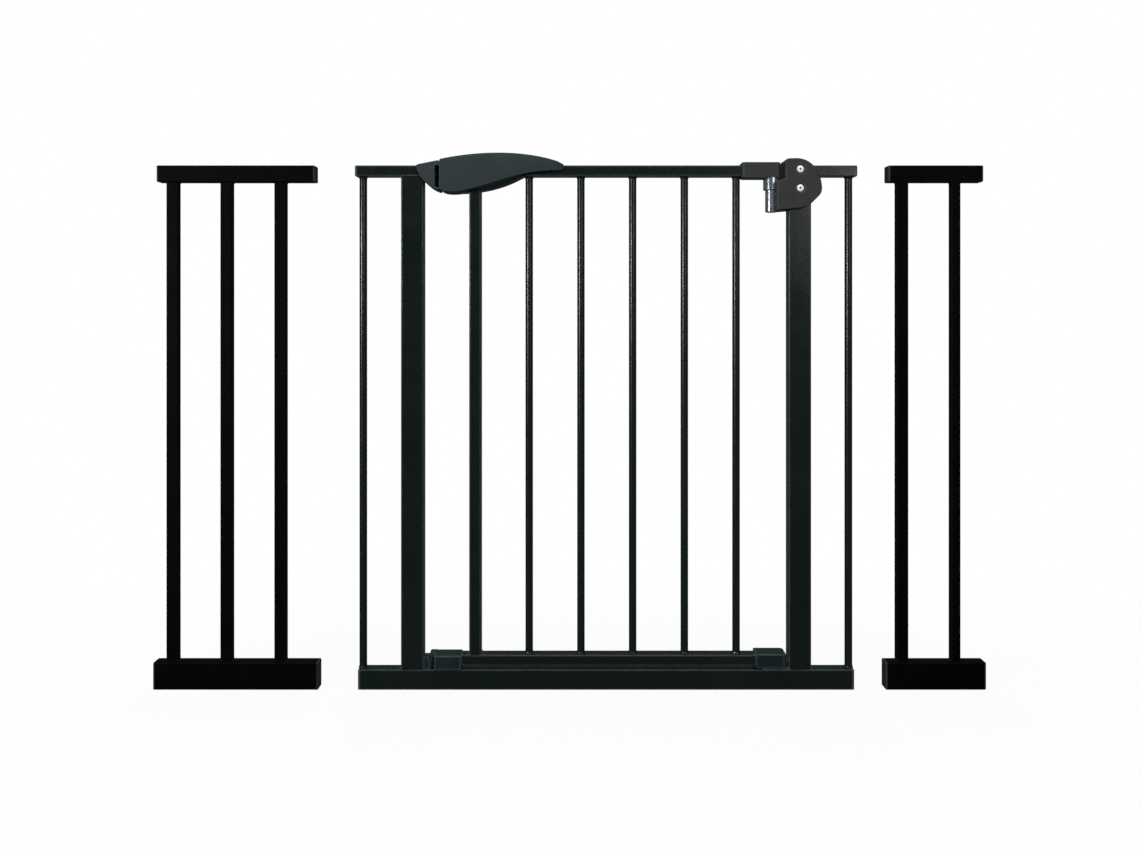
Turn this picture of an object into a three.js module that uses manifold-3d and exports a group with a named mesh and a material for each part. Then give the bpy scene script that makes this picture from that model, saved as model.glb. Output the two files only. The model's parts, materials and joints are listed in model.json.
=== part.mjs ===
// Walk-through child safety gate: a steel frame that is held between two walls, a barred door that
// swings and lifts on two hinge pins, a slide latch in its handle, and two extension panels.
// Millimetres. X runs along the gate, Y from front to back, Z up. The origin is on the floor,
// under the middle of the passage.
import * as THREE from "three";
import { mergeVertices } from "three/addons/utils/BufferGeometryUtils.js";
import Module from "manifold-3d";

const wasm = await Module();
wasm.setup();

// ---- Driving dimensions: the frame ----
const gateHeight = 762;
const passageWidth = 530; // clear width between the two posts
const tubeDepth = 20; // front-to-back size of every rectangular tube
const tubeWall = 1.2;
const tubeCorner = 1.6;
const postWidth = 33;
const sillHeight = 30; // height of the bottom rail that a walker steps over
const sillOverhang = 60.5; // from a post's outer face to the bottom rail's plug
const slimTube = 16; // height of the stubs and of the door's rails
const stileWidth = 17.3;
const stubOverhang = 65; // from a post's outer face to the stub's plug
const barDiameter = 11;
const barReach = 56.5; // from a post's outer face to the outer bar's axis

// ---- Driving dimensions: the door ----
const doorBarCount = 5;
const stileInset = 74.7; // from the latch post's face to the stile's axis
const firstBarStep = 78.3; // from the stile's axis to the first bar's axis
const lastBarInset = 51.2; // from the hinge axis back to the last bar's axis
const sillGap = 5; // under the door's bottom rail
const hingeInset = 23.5; // from the hinge post's face to the hinge axis
const handleInset = 24.2; // from the latch post's face to the handle's end
const handleDepth = 44;
const coverWall = 2.5;
const boltThrow = 9;

// ---- Driving dimensions: hinges and end blocks ----
const pinRadius = 4;
const barrelRadius = 8.5;
const barrelWall = 1.8;
const collarRadius = 11.4; // the casing's round foot, which turns on the barrel
const barrelHeight = 32;
const barrelDrop = 67.5; // from the top of the gate to the barrel's lower end
const casingTop = 4.6; // how far the hinge casing stands above the door's top rail
const casingBottom = 3;
const casingLength = 44; // from the hinge axis back along the rail
const casingSide = 1.2; // wall beside the rail
const casingCorner = 4;
const blockDepth = 28.6;
const bracketThickness = 3;
const spigotLength = 22;

// ---- Driving dimensions: end plugs and extension panels ----
const flange = 2;
const plugLength = 14;
const socketDiameter = 9; // takes a wall spindle
const panelTopRail = 24;
const panelBottomRail = 40;
const panelBarDepth = 12;
// gap is the free space between the panel and the end of the gate's bottom rail.
// barShift is how far the bars stand to the right of the panel's middle.
const leftPanel = {
  gap: 57.5,
  bottomLength: 240,
  topInset: 5,
  barWidths: [17.2, 17.2, 17.2],
  barStep: 78.6,
  barShift: -15.3,
};
const rightPanel = {
  gap: 45.5,
  bottomLength: 146,
  topInset: 4,
  barWidths: [17.2, 13.8],
  barStep: 77.7,
  barShift: -8.1,
};

// ---- Clearances ----
const fit = 0.3; // between pieces that slide, turn or slip together
const seam = 0.2; // between the two halves of a cover
const swingGap = 1; // between pieces that pass each other as the door swings

// ---- Places that several pieces share ----
const halfPassage = passageWidth / 2;
const hingeX = halfPassage - hingeInset;
const handleX = -halfPassage + handleInset;
const stileX = -halfPassage + stileInset;
const railBottom = gateHeight - slimTube;
const postOuter = halfPassage + postWidth;
const sillHalf = postOuter + sillOverhang;
const doorSill = sillHeight + sillGap;
const doorSillTop = doorSill + slimTube;
const barrelBottom = gateHeight - barrelDrop;
const barrelTop = barrelBottom + barrelHeight;
const handleHalf = handleDepth / 2;
const halfDepth = tubeDepth / 2;
const topRailEnd = hingeX - 12;
const latchBlockStart = -halfPassage + 16;
const latchBlockEnd = -halfPassage + 54.5;
const hingeBlockStart = hingeX - 24;
const hingeBlockEnd = hingeX + 19.5;
const hingeScrewX = halfPassage + 14.8;
const hingeScrewHeights = [gateHeight - 6.6, gateHeight - 34];
const hingeScrewShank = 2;
const hingeScrewRecess = 6.4;
const boltHalfDepth = 7;
const boltTop = gateHeight - tubeWall - 0.8;
const boltBottom = boltTop - 10;
const boltLength = 46;
const stemHalfDepth = 3;
const stemStart = handleX + 20; // the thumb button's stem, with the bolt drawn back
const stemEnd = stemStart + 8;
const padStart = handleX + 14;
const padLength = 20;
const padFloor = gateHeight + 8.6; // the button slides on this shelf
const shelfThickness = 2;

// ---- Materials ----
function finish(color, roughness, metalness) {
  return () => new THREE.MeshStandardMaterial({ color, roughness, metalness });
}
const paintedSteel = finish(0x151a19, 0.38, 0.35);
const panelPaint = finish(0x08090a, 0.5, 0.3);
const handlePlastic = finish(0x313b3c, 0.55, 0);
const hingePlastic = finish(0x333436, 0.55, 0);
const blockPlastic = finish(0x1a2123, 0.5, 0);
const gripPlastic = finish(0x101314, 0.35, 0);
const plugPlastic = finish(0x121313, 0.6, 0);
const zinc = finish(0xc9c9c4, 0.3, 0.9);
const springSteel = finish(0x8b8e90, 0.35, 0.9);

// ---- Solids ----
function toSolid(geometry) {
  const bare = geometry.clone();
  bare.deleteAttribute("normal");
  bare.deleteAttribute("uv");
  const merged = mergeVertices(bare, 1e-4);
  const mesh = new wasm.Mesh({
    numProp: 3,
    vertProperties: merged.attributes.position.array,
    triVerts: new Uint32Array(merged.index.array),
  });
  return new wasm.Manifold(mesh);
}

function toGeometry(solid) {
  const { vertProperties, triVerts } = solid.getMesh();
  const geometry = new THREE.BufferGeometry();
  geometry.setAttribute("position", new THREE.BufferAttribute(vertProperties, 3));
  geometry.setIndex(new THREE.BufferAttribute(triVerts, 1));
  geometry.computeVertexNormals();
  return geometry;
}

// A box from its low and high corner.
function block(low, high) {
  const size = high.map((value, i) => value - low[i]);
  const geometry = new THREE.BoxGeometry(...size);
  geometry.translate(...low.map((value, i) => value + size[i] / 2));
  return toSolid(geometry);
}

// A round bar between two heights, or between two depths when it lies along Y.
function uprightRod(radius, x, low, high, sides = 24) {
  const geometry = new THREE.CylinderGeometry(radius, radius, high - low, sides);
  geometry.rotateX(Math.PI / 2).translate(x, 0, (low + high) / 2);
  return toSolid(geometry);
}

function crossRod(radius, x, z, front, back, sides = 20) {
  const geometry = new THREE.CylinderGeometry(radius, radius, back - front, sides);
  geometry.translate(x, (front + back) / 2, z);
  return toSolid(geometry);
}

// An outline in X and Z made into a plate from front to back. inset moves the whole outline inwards.
function plate(outline, front, back, bevel = 0, inset = 0) {
  const geometry = new THREE.ExtrudeGeometry(outline, {
    depth: back - front - 2 * bevel,
    curveSegments: 7,
    bevelEnabled: bevel > 0,
    bevelThickness: bevel,
    bevelSize: bevel,
    bevelOffset: -bevel - inset,
    bevelSegments: 1,
  });
  geometry.rotateX(Math.PI / 2).translate(0, back - bevel, 0);
  return toSolid(geometry);
}

function mesh(name, shape, material, x = 0, y = 0, z = 0) {
  const geometry = shape.isBufferGeometry ? shape : toGeometry(shape);
  const made = new THREE.Mesh(geometry, material());
  made.name = name;
  made.position.set(x, y, z);
  return made;
}

function frontHalf(solid) {
  return solid.subtract(block([-2000, -seam / 2, -100], [2000, 500, 2000]));
}

function rearHalf(solid) {
  return solid.subtract(block([-2000, -500, -100], [2000, seam / 2, 2000]));
}

// ---- Tubes, bars, plugs and screws ----
function roundedRectangle(width, height, radius) {
  const right = width / 2 - radius;
  const top = height / 2 - radius;
  const shape = new THREE.Shape();
  shape.absarc(right, top, radius, 0, Math.PI / 2);
  shape.absarc(-right, top, radius, Math.PI / 2, Math.PI);
  shape.absarc(-right, -top, radius, Math.PI, 1.5 * Math.PI);
  shape.absarc(right, -top, radius, 1.5 * Math.PI, 2 * Math.PI);
  shape.closePath();
  return shape;
}

function tubeSection(width, height) {
  const section = roundedRectangle(width, height, tubeCorner);
  const right = width / 2 - tubeWall;
  const top = height / 2 - tubeWall;
  const bore = new THREE.Path();
  bore.moveTo(-right, -top).lineTo(-right, top).lineTo(right, top).lineTo(right, -top);
  bore.closePath();
  section.holes.push(bore);
  return section;
}

function uprightTube(width, depth, length) {
  return new THREE.ExtrudeGeometry(tubeSection(width, depth), {
    depth: length,
    bevelEnabled: false,
    curveSegments: 3,
  });
}

// A rectangular tube that starts at the origin and runs along +X.
function railTube(height, length) {
  const geometry = new THREE.ExtrudeGeometry(tubeSection(tubeDepth, height), {
    depth: length,
    bevelEnabled: false,
    curveSegments: 3,
  });
  const alongX = new THREE.Matrix4().makeBasis(
    new THREE.Vector3(0, 1, 0),
    new THREE.Vector3(0, 0, 1),
    new THREE.Vector3(1, 0, 0),
  );
  return geometry.applyMatrix4(alongX);
}

// A round bar with a weld bead round each end.
function weldedBar(diameter, length) {
  const radius = diameter / 2;
  const bead = 1.2;
  const beadHeight = 4;
  const bore = radius - tubeWall;
  const profile = [
    new THREE.Vector2(bore, 0),
    new THREE.Vector2(radius + bead, 0),
    new THREE.Vector2(radius, beadHeight),
    new THREE.Vector2(radius, length - beadHeight),
    new THREE.Vector2(radius + bead, length),
    new THREE.Vector2(bore, length),
    new THREE.Vector2(bore, 0),
  ];
  return new THREE.LatheGeometry(profile, 16).rotateX(Math.PI / 2);
}

// A plug for the end of a rectangular tube. Its flange covers the tube's end, on the +X side.
function endPlug(height, hasSocket) {
  const slip = tubeWall + fit;
  const head = toSolid(
    new THREE.ExtrudeGeometry(roundedRectangle(height, tubeDepth, tubeCorner), {
      depth: flange,
      bevelEnabled: false,
      curveSegments: 3,
    }).rotateY(Math.PI / 2),
  );
  const shank = block(
    [-plugLength, -halfDepth + slip, -height / 2 + slip],
    [0.5 * flange, halfDepth - slip, height / 2 - slip],
  );
  const solid = head.add(shank);
  if (!hasSocket) return solid;
  const bore = new THREE.CylinderGeometry(socketDiameter / 2, socketDiameter / 2, 4 * plugLength, 16);
  return solid.subtract(toSolid(bore.rotateZ(Math.PI / 2)));
}

// A cross-head screw along Y: the head faces -Y at the origin and the shank runs back.
function screw(headRadius, shankRadius, length) {
  const headHeight = 0.45 * headRadius;
  const profile = [
    new THREE.Vector2(0, -headHeight),
    new THREE.Vector2(0.7 * headRadius, -headHeight),
    new THREE.Vector2(headRadius, -0.35 * headHeight),
    new THREE.Vector2(headRadius, 0),
    new THREE.Vector2(shankRadius, 0),
    new THREE.Vector2(shankRadius, length - shankRadius),
    new THREE.Vector2(0, length),
  ];
  const body = toSolid(new THREE.LatheGeometry(profile, 12));
  const arm = 0.55 * headRadius;
  const blade = 0.13 * headRadius;
  const depth = -0.4 * headHeight;
  const across = block([-arm, -2 * headHeight, -blade], [arm, depth, blade]);
  const upright = block([-blade, -2 * headHeight, -arm], [blade, depth, arm]);
  return body.subtract(across).subtract(upright);
}

// ---- Frame ----
function buildFrame() {
  const frame = new THREE.Group();
  const postLength = railBottom - sillHeight;
  const barLength = railBottom - sillHeight;
  const stubLength = postWidth + stubOverhang;
  const postX = halfPassage + postWidth / 2;
  const barX = postOuter + barReach;
  const stubMiddle = gateHeight - slimTube / 2;

  const sill = railTube(sillHeight, 2 * sillHalf);
  frame.add(mesh("bottom_rail", sill, paintedSteel, -sillHalf, 0, sillHeight / 2));
  const post = uprightTube(postWidth, tubeDepth, postLength);
  frame.add(mesh("left_post", post, paintedSteel, -postX, 0, sillHeight));
  const [highHole, lowHole] = hingeScrewHeights.map((z) => {
    return crossRod(hingeScrewShank + fit, hingeScrewX, z, -tubeDepth, tubeDepth, 12);
  });
  const drilledPost = toSolid(post.clone().translate(postX, 0, sillHeight)).subtract(lowHole);
  frame.add(mesh("right_post", drilledPost, paintedSteel));

  const stub = railTube(slimTube, stubLength);
  frame.add(mesh("left_top_stub", stub, paintedSteel, -halfPassage - stubLength, 0, stubMiddle));
  const drilledStub = toSolid(stub.clone().translate(halfPassage, 0, stubMiddle)).subtract(highHole);
  frame.add(mesh("right_top_stub", drilledStub, paintedSteel));

  const outerBar = weldedBar(barDiameter, barLength);
  frame.add(mesh("left_outer_bar", outerBar, paintedSteel, -barX, 0, sillHeight));
  frame.add(mesh("right_outer_bar", outerBar, paintedSteel, barX, 0, sillHeight));

  const stubEnd = postOuter + stubOverhang;
  for (const [side, sign] of [["left", -1], ["right", 1]]) {
    const ends = [
      ["_lower_plug", sillHeight, sillHalf, sillHeight / 2],
      ["_upper_plug", slimTube, stubEnd, stubMiddle],
    ];
    for (const [name, height, reach, z] of ends) {
      const plug = mesh(side + name, endPlug(height, true), plugPlastic, sign * reach, 0, z);
      plug.rotation.z = sign < 0 ? Math.PI : 0;
      frame.add(plug);
    }
  }
  return frame;
}

// ---- Catch on the latch post ----
// X is measured from the post's inner face and Z from the top of the gate.
const catchEnd = handleInset - swingGap;
const slotStart = catchEnd - 5.6;

function catchOutline() {
  const shape = new THREE.Shape();
  shape.moveTo(-10, -3);
  shape.quadraticCurveTo(1, -32, catchEnd, -37.4);
  shape.lineTo(catchEnd, 6.3);
  shape.lineTo(-6, 0.4);
  shape.closePath();
  return shape;
}

function buildCatch() {
  const group = new THREE.Group();
  group.position.set(-halfPassage, 0, gateHeight);
  const windowHalf = boltHalfDepth + 1;
  const windowLow = boltBottom - gateHeight - 1;
  const windowHigh = boltTop - gateHeight + 1;
  const rearWall = handleHalf - coverWall;
  const frameTube = block([-80, -halfDepth - fit, -120], [fit, halfDepth + fit, fit]);
  const pocket = block([3, -16, -26], [slotStart - coverWall, 16, 1.5]);
  const boltWindow = block([3, -windowHalf, windowLow], [catchEnd + 5, windowHalf, windowHigh]);
  const slot = block([slotStart, -handleHalf - 5, -33.4], [catchEnd + 5, rearWall, -1.4]);
  const cap = plate(catchOutline(), -handleHalf, handleHalf, 1.6)
    .subtract(frameTube)
    .subtract(pocket)
    .subtract(boltWindow)
    .subtract(slot);
  group.add(mesh("catch_front_cover", frontHalf(cap), handlePlastic));
  group.add(mesh("catch_rear_cover", rearHalf(cap), handlePlastic));

  const plateBack = slotStart - coverWall - fit;
  const steel = block([plateBack - 1.6, -15.5, -25.5], [plateBack, 15.5, 1]);
  group.add(mesh("strike_plate", steel.subtract(boltWindow), zinc));
  return group;
}

function buildBottomLug() {
  const lugLength = 9.4;
  const outline = new THREE.Shape();
  outline.moveTo(0, 0).lineTo(lugLength, 0).lineTo(lugLength, 14).lineTo(lugLength - 3, 17).lineTo(0, 17);
  outline.closePath();
  const web = block([lugLength - 1, 2, 0], [latchBlockStart + halfPassage - swingGap, 9, 16]);
  const lug = plate(outline, -halfDepth, halfDepth).add(web);
  return mesh("bottom_catch_lug", lug, blockPlastic, -halfPassage, 0, sillHeight);
}

// ---- Upper hinge on the hinge post ----
// The cover's outline has X from the post's inner face and Z from the top of the gate.
function hingeCoverOutline() {
  const wing = hingeInset - 3.5;
  const wingTop = -slimTube - casingBottom - swingGap; // the hinge casing passes over it
  const shape = new THREE.Shape();
  shape.moveTo(-7.5, wingTop);
  shape.lineTo(-7.5, 1);
  shape.quadraticCurveTo(-7.2, 8.6, -1, 8.6);
  shape.lineTo(9, 8.9);
  shape.bezierCurveTo(29, 8.9, 44.5, -8, 45.8, -33);
  shape.quadraticCurveTo(46.2, -41, 41.5, -45.5);
  shape.lineTo(29.5, -57.5);
  shape.quadraticCurveTo(25.5, -61.5, 13, -63.3);
  shape.lineTo(-wing, 1.2 - barrelDrop);
  shape.lineTo(-wing, wingTop - 5);
  shape.lineTo(-wing + 5, wingTop - 2.5);
  shape.closePath();
  return shape;
}

function buildUpperHinge() {
  const group = new THREE.Group();
  const arm = { low: barrelBottom + 5, high: barrelTop - 5, half: 6 };
  const barrelProfile = [
    new THREE.Vector2(pinRadius + fit, 0),
    new THREE.Vector2(barrelRadius, 0),
    new THREE.Vector2(barrelRadius, barrelHeight),
    new THREE.Vector2(barrelRadius - barrelWall, barrelHeight),
    new THREE.Vector2(barrelRadius - barrelWall, 3),
    new THREE.Vector2(pinRadius + fit, 3),
    new THREE.Vector2(pinRadius + fit, 0),
  ];
  const barrel = new THREE.LatheGeometry(barrelProfile, 28).rotateX(Math.PI / 2);
  barrel.translate(hingeX, 0, barrelBottom);
  const armStart = hingeX + barrelRadius - 0.5 * barrelWall;
  const armBlock = block([armStart, -arm.half, arm.low], [halfPassage, arm.half, arm.high]);
  group.add(mesh("hinge_barrel", toSolid(barrel).add(armBlock), hingePlastic));

  const outline = hingeCoverOutline();
  const collarSpace = uprightRod(collarRadius + 2 * fit, hingeX, barrelTop - fit, gateHeight + 20, 32);
  const barrelSpace = uprightRod(barrelRadius + fit, hingeX, barrelBottom - 5, barrelTop, 32);
  const armSpace = block(
    [hingeX, -arm.half - fit, arm.low - fit],
    [halfPassage + fit, arm.half + fit, arm.high + fit],
  );
  const postSpace = block(
    [halfPassage - fit, -halfDepth - fit, barrelBottom - 50],
    [postOuter + fit, halfDepth + fit, railBottom + fit],
  );
  const stubSpace = block(
    [halfPassage - fit, -halfDepth - fit, railBottom - fit],
    [postOuter + stubOverhang, halfDepth + fit, gateHeight + fit],
  );
  const innerHalf = handleHalf - coverWall;
  const bossHalf = handleHalf - coverWall / 2;
  const cavity = plate(outline, -innerHalf, innerHalf, 1, coverWall);
  let shell = plate(outline, -handleHalf, handleHalf, 2).subtract(cavity);
  shell = shell.translate(halfPassage, 0, gateHeight);
  for (const z of hingeScrewHeights) {
    shell = shell.add(crossRod(hingeScrewRecess + 2, hingeScrewX, z, -bossHalf, bossHalf));
  }
  for (const space of [collarSpace, barrelSpace, armSpace, postSpace, stubSpace]) {
    shell = shell.subtract(space);
  }
  const headDepth = 4;
  for (const z of hingeScrewHeights) {
    const recess = crossRod(hingeScrewRecess, hingeScrewX, z, -handleHalf - 1, headDepth - handleHalf);
    const bore = crossRod(hingeScrewShank + fit, hingeScrewX, z, -handleHalf, handleHalf - 4, 12);
    shell = shell.subtract(recess).subtract(bore);
  }
  group.add(mesh("hinge_front_cover", frontHalf(shell), hingePlastic));
  group.add(mesh("hinge_rear_cover", rearHalf(shell), hingePlastic));

  const screwLength = 2 * handleHalf - headDepth - 6;
  const names = ["hinge_screw_upper", "hinge_screw_lower"];
  hingeScrewHeights.forEach((z, i) => {
    const solid = screw(5.2, hingeScrewShank, screwLength);
    group.add(mesh(names[i], solid, zinc, hingeScrewX, headDepth - handleHalf, z));
  });
  return group;
}

function buildLowerBracket() {
  const tabTop = sillHeight + bracketThickness;
  const tab = block([hingeX - 14, -halfDepth, sillHeight], [halfPassage, halfDepth, tabTop]);
  const bore = uprightRod(pinRadius + fit, hingeX, sillHeight - 1, sillHeight + 2 * bracketThickness);
  return mesh("lower_hinge_bracket", tab.subtract(bore), paintedSteel);
}

// ---- Hinge pins and the closing spring ----
function buildHingePins() {
  const group = new THREE.Group();
  const pin = (low, high) => {
    const profile = [
      new THREE.Vector2(0, low),
      new THREE.Vector2(pinRadius, low),
      new THREE.Vector2(pinRadius, high - 1),
      new THREE.Vector2(pinRadius - 1, high),
      new THREE.Vector2(0, high),
    ];
    return new THREE.LatheGeometry(profile, 20).rotateX(Math.PI / 2);
  };
  group.add(mesh("upper_hinge_pin", pin(barrelBottom + 0.5, gateHeight - 4), zinc, hingeX));
  const lowerPinTop = doorSillTop - 1;
  group.add(mesh("lower_hinge_pin", pin(sillHeight + 0.4, lowerPinTop), zinc, hingeX));

  const wire = 0.7;
  const turns = 6;
  const radius = pinRadius + 1 + wire;
  const low = barrelBottom + 3 + 2 * wire;
  const rise = barrelHeight - 3 - 4 * wire;
  class Helix extends THREE.Curve {
    getPoint(t, target = new THREE.Vector3()) {
      const angle = 2 * Math.PI * turns * t;
      return target.set(radius * Math.cos(angle), radius * Math.sin(angle), low + rise * t);
    }
  }
  const section = new THREE.Shape().absarc(0, 0, wire, 0, 2 * Math.PI);
  const coil = new THREE.ExtrudeGeometry(section, {
    steps: 10 * turns,
    curveSegments: 3,
    bevelEnabled: false,
    extrudePath: new Helix(),
  });
  group.add(mesh("closing_spring", coil, springSteel, hingeX));
  return group;
}

// ---- Door ----
function hingeCasing() {
  const half = halfDepth + fit + casingSide;
  const low = railBottom - casingBottom;
  const high = gateHeight + casingTop;
  const outline = new THREE.Shape();
  outline.moveTo(-casingLength, -half + 2);
  outline.lineTo(-casingLength + 1.5, -half);
  outline.lineTo(half - casingCorner, -half);
  outline.absarc(half - casingCorner, casingCorner - half, casingCorner, -Math.PI / 2, 0);
  outline.absarc(half - casingCorner, half - casingCorner, casingCorner, 0, Math.PI / 2);
  outline.lineTo(-casingLength + 1.5, half);
  outline.lineTo(-casingLength, half - 2);
  outline.closePath();
  const shell = new THREE.ExtrudeGeometry(outline, {
    depth: high - low - 2,
    curveSegments: 14,
    bevelThickness: 1,
    bevelSize: 1,
    bevelOffset: -1,
    bevelSegments: 1,
  }).translate(hingeX, 0, low + 1);
  const collar = uprightRod(collarRadius, hingeX, barrelTop + fit, low + 2, 32);
  const railSpace = block(
    [hingeX - casingLength - 5, -halfDepth - fit, railBottom - fit],
    [topRailEnd + fit, halfDepth + fit, gateHeight + fit],
  );
  const bore = uprightRod(pinRadius + fit, hingeX, barrelTop - 5, gateHeight - 2);
  return toSolid(shell).add(collar).subtract(railSpace).subtract(bore);
}

function lowerLatchBlock() {
  const left = latchBlockStart;
  const right = latchBlockEnd;
  const low = sillHeight + 0.6;
  const half = blockDepth / 2;
  const outline = new THREE.Shape();
  outline.moveTo(left, low).lineTo(right, low).lineTo(right, doorSillTop - 2);
  outline.quadraticCurveTo(right, doorSillTop, right - 2, doorSillTop);
  outline.lineTo(left, doorSillTop);
  outline.closePath();
  const tongue = block([left - 8, 0, sillHeight + 17.8], [left + 1, half, doorSillTop]);
  return plate(outline, -half, half, 1).add(tongue).add(railSpigot(right, 1));
}

function lowerHingeBlock() {
  const left = hingeBlockStart;
  const right = hingeBlockEnd;
  const low = sillHeight + bracketThickness + 0.4;
  const high = doorSillTop + 2.4;
  const half = blockDepth / 2;
  const outline = new THREE.Shape();
  outline.moveTo(left, -half).lineTo(right - 3.5, -half).lineTo(right, -half + 3.5);
  outline.lineTo(right, half - 3.5).lineTo(right - 3.5, half).lineTo(left, half);
  outline.closePath();
  const body = new THREE.ExtrudeGeometry(outline, {
    depth: high - low - 2,
    bevelThickness: 1,
    bevelSize: 1,
    bevelOffset: -1,
    bevelSegments: 1,
  }).translate(0, 0, low + 1);
  const bore = uprightRod(pinRadius + fit, hingeX, low - 5, doorSillTop + 0.5);
  return toSolid(body).add(railSpigot(left, -1)).subtract(bore);
}

// The part of an end block that slips into the door's bottom rail.
function railSpigot(face, direction) {
  const slip = tubeWall + fit;
  const ends = [face - direction, face + direction * spigotLength].sort((a, b) => a - b);
  return block(
    [ends[0], -halfDepth + slip, doorSill + slip],
    [ends[1], halfDepth - slip, doorSillTop - slip],
  );
}

function buildDoor() {
  const door = new THREE.Group();
  const topRailStart = handleX + 6;
  const topRail = toSolid(
    railTube(slimTube, topRailEnd - topRailStart).translate(topRailStart, 0, gateHeight - slimTube / 2),
  );
  const stemSlot = block(
    [stemStart - boltThrow - 1, -stemHalfDepth - fit, gateHeight - 3],
    [stemEnd + fit, stemHalfDepth + fit, gateHeight + 1],
  );
  const nearScrew = crossRod(
    handleScrewShank + fit,
    handleX + handleScrews[1].x,
    gateHeight + handleScrews[1].z,
    -handleHalf,
    handleHalf,
    12,
  );
  door.add(mesh("door_top_rail", topRail.subtract(stemSlot).subtract(nearScrew), paintedSteel));

  const sillRail = railTube(slimTube, hingeBlockStart - latchBlockEnd);
  door.add(mesh("door_bottom_rail", sillRail, paintedSteel, latchBlockEnd, 0, doorSill + slimTube / 2));

  const barLength = railBottom - doorSillTop;
  const stile = uprightTube(stileWidth, tubeDepth, barLength);
  door.add(mesh("door_stile", stile, paintedSteel, stileX, 0, doorSillTop));
  const firstBar = stileX + firstBarStep;
  const pitch = (hingeX - lastBarInset - firstBar) / (doorBarCount - 1);
  for (let i = 0; i < doorBarCount; i++) {
    const bar = weldedBar(barDiameter, barLength);
    door.add(mesh("door_bar_" + (i + 1), bar, paintedSteel, firstBar + i * pitch, 0, doorSillTop));
  }
  door.add(mesh("door_hinge_casing", hingeCasing(), hingePlastic));
  door.add(mesh("lower_hinge_block", lowerHingeBlock(), blockPlastic));
  door.add(mesh("lower_latch_block", lowerLatchBlock(), blockPlastic));
  return door;
}

// ---- Handle on the door's top rail ----
// X is measured from the handle's end and Z from the top of the gate.
const handleScrewShank = 1.6;
const handleScrewRecess = 3.8;
const handleScrews = [
  { name: "handle_screw_lower", x: 24, z: -27 },
  { name: "handle_screw_upper", x: 104, z: 8.4 },
];

function handleOutline() {
  const shape = new THREE.Shape();
  shape.moveTo(0, 7.9);
  shape.bezierCurveTo(48.4, 18.5, 118.4, 23.4, 175.4, 3.6);
  shape.bezierCurveTo(181.4, 1.8, 180.4, -7.1, 175.4, -8.5);
  shape.bezierCurveTo(105, -7, 64, -38, 18, -39.6);
  shape.lineTo(5.5, -39);
  shape.lineTo(0, -35.5);
  shape.closePath();
  return shape;
}

function gripOutline() {
  const shape = new THREE.Shape();
  shape.moveTo(30, -34);
  shape.lineTo(136, -7);
  shape.lineTo(124, -15);
  shape.bezierCurveTo(100, -30, 70, -40, 30, -40.4);
  shape.closePath();
  return shape;
}

function buildHandle() {
  const group = new THREE.Group();
  group.position.set(handleX, 0, gateHeight);
  const outline = handleOutline();
  const railTop = fit;
  const railSpace = block([6 - fit, -halfDepth - fit, -slimTube - fit], [300, halfDepth + fit, railTop]);
  const stileMiddle = stileX - handleX;
  const stileSpace = block(
    [stileMiddle - stileWidth / 2 - fit, -halfDepth - fit, -100],
    [stileMiddle + stileWidth / 2 + fit, halfDepth + fit, -slimTube],
  );
  const shelf = padFloor - gateHeight;
  const shelfEnd = padStart + padLength + fit - handleX;
  const shelfStart = padStart - boltThrow - 1 - handleX;
  const padHalf = 9;
  const innerHalf = handleHalf - coverWall;
  const bossHalf = handleHalf - coverWall / 2;
  const solidTop = block(
    [-5, -padHalf - coverWall, shelf - shelfThickness],
    [shelfEnd + coverWall, padHalf + coverWall, 60],
  );
  const cavity = plate(outline, -innerHalf, innerHalf, 1, coverWall).subtract(solidTop);
  let shell = plate(outline, -handleHalf, handleHalf, 2).subtract(cavity);
  for (const { x, z } of handleScrews) {
    shell = shell.add(crossRod(handleScrewRecess + 1.5, x, z, -bossHalf, bossHalf));
  }
  const padSpace = block([shelfStart, -padHalf, shelf], [shelfEnd, padHalf, 60]);
  const stemSpace = block(
    [stemStart - boltThrow - 1 - handleX, -stemHalfDepth - fit, 0],
    [stemEnd + fit - handleX, stemHalfDepth + fit, 60],
  );
  const boltSpace = block(
    [-10, -boltHalfDepth - fit, boltBottom - fit - gateHeight],
    [10, boltHalfDepth + fit, boltTop + fit - gateHeight],
  );
  for (const space of [railSpace, stileSpace, padSpace, stemSpace, boltSpace]) shell = shell.subtract(space);
  const headDepth = 3;
  for (const { x, z } of handleScrews) {
    shell = shell.subtract(crossRod(handleScrewShank + fit, x, z, 4 - handleHalf, handleHalf, 12));
    shell = shell.subtract(crossRod(handleScrewRecess, x, z, handleHalf - headDepth, handleHalf + 1));
  }
  group.add(mesh("handle_front_cover", frontHalf(shell), handlePlastic));
  group.add(mesh("handle_rear_cover", rearHalf(shell), handlePlastic));

  const gripHalf = handleHalf - 3.5;
  const coverSpace = plate(outline, -handleDepth, handleDepth, 1, -fit);
  const grip = plate(gripOutline(), -gripHalf, gripHalf)
    .subtract(coverSpace)
    .subtract(railSpace)
    .subtract(stileSpace);
  group.add(mesh("grip_insert", grip, gripPlastic));

  for (const { name, x, z } of handleScrews) {
    const fastener = mesh(name, screw(3.3, handleScrewShank, 2 * handleHalf - headDepth - 6), zinc);
    fastener.position.set(x, handleHalf - headDepth, z);
    fastener.rotation.z = Math.PI;
    group.add(fastener);
  }
  return group;
}

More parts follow.
